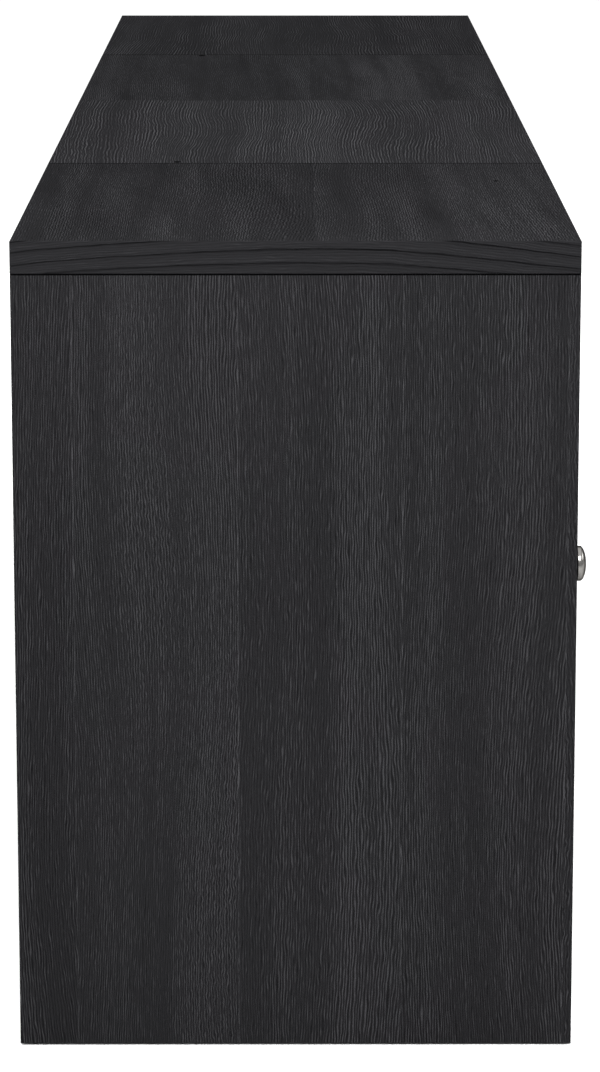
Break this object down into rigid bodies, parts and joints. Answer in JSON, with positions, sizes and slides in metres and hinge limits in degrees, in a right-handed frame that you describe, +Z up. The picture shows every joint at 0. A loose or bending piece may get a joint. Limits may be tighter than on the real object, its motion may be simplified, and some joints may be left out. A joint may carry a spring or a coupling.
{
  "type": "sideboard buffet",
  "caption": "Long low sideboard in black-stained oak with full-depth end panels, inset doors on pivot hinges, round metal knobs and a thick jointed top.",
  "frame": {"origin": "on the floor, in the middle of the bounding box, knobs included", "axes": "+X along the length towards the right end, -Y towards the viewer of the doors, +Z up"},
  "size_m": [2.1, 0.531, 0.74],
  "materials": {
    "stained_oak": "black-stained oak veneer, matte, open grain",
    "back_board": "black-stained hardboard, matte",
    "plain_wood": "plain beech",
    "satin_nickel": "satin nickel plate",
    "zinc_steel": "bright zinc plate",
    "zinc_alloy": "die-cast zinc alloy, dull",
    "dark_bronze_steel": "black-oxide steel",
    "magnet": "ferrite between steel plates",
    "dark_plastic": "black moulded plastic",
    "nylon": "black nylon"
  },
  "bodies": {
    "carcass": {"left_end_panel": "stained_oak", "right_end_panel": "stained_oak", "bottom_panel": "stained_oak", "divider_1": "stained_oak", "divider_2": "stained_oak", "divider_3": "stained_oak", "front_rail": "stained_oak", "rear_rail": "stained_oak", "front_plinth": "stained_oak", "rear_plinth": "stained_oak", "top_board_1": "stained_oak", "top_board_2": "stained_oak", "top_board_3": "stained_oak", "top_board_4": "stained_oak", "top_splines": "plain_wood", "back_panel_left": "back_board", "back_panel_right": "back_board", "shelf_1": "stained_oak", "shelf_2": "stained_oak", "shelf_3": "stained_oak", "shelf_4": "stained_oak", "shelf_pegs": "zinc_steel", "dowels": "plain_wood", "cam_bolts": "zinc_steel", "cam_locks": "zinc_alloy", "divider_screws": "zinc_steel", "top_screws": "zinc_steel", "back_screws": "zinc_steel", "floor_glides": "nylon", "catch_housings": "dark_plastic", "catch_magnets": "magnet", "catch_screws": "zinc_steel", "frame_leaves": "dark_bronze_steel", "pivot_pins": "dark_bronze_steel", "pivot_washers": "nylon", "frame_leaf_screws": "dark_bronze_steel"},
    "door_1_leaf": {"door_1": "stained_oak", "door_1_leaves": "dark_bronze_steel", "door_1_screws": "dark_bronze_steel", "door_1_strike": "zinc_steel", "door_1_knob": "satin_nickel", "door_1_knob_screw": "zinc_steel"},
    "door_2_leaf": {"door_2": "stained_oak", "door_2_leaves": "dark_bronze_steel", "door_2_screws": "dark_bronze_steel", "door_2_strike": "zinc_steel", "door_2_knob": "satin_nickel", "door_2_knob_screw": "zinc_steel"},
    "door_3_leaf": {"door_3": "stained_oak", "door_3_leaves": "dark_bronze_steel", "door_3_screws": "dark_bronze_steel", "door_3_strike": "zinc_steel", "door_3_knob": "satin_nickel", "door_3_knob_screw": "zinc_steel"},
    "door_4_leaf": {"door_4": "stained_oak", "door_4_leaves": "dark_bronze_steel", "door_4_screws": "dark_bronze_steel", "door_4_strike": "zinc_steel", "door_4_knob": "satin_nickel", "door_4_knob_screw": "zinc_steel"}
  },
  "joints": [
    {"name": "door_1_hinge", "type": "hinge", "parent": "carcass", "child": "door_1_leaf", "pos_m": [-1.01, -0.2275, 0.38], "axis": [0, 0, -1], "range_deg": [0, 95]},
    {"name": "door_2_hinge", "type": "hinge", "parent": "carcass", "child": "door_2_leaf", "pos_m": [-0.498, -0.2275, 0.38], "axis": [0, 0, -1], "range_deg": [0, 95]},
    {"name": "door_3_hinge", "type": "hinge", "parent": "carcass", "child": "door_3_leaf", "pos_m": [0.498, -0.2275, 0.38], "axis": [0, 0, 1], "range_deg": [0, 95]},
    {"name": "door_4_hinge", "type": "hinge", "parent": "carcass", "child": "door_4_leaf", "pos_m": [1.01, -0.2275, 0.38], "axis": [0, 0, 1], "range_deg": [0, 95]}
  ]
}
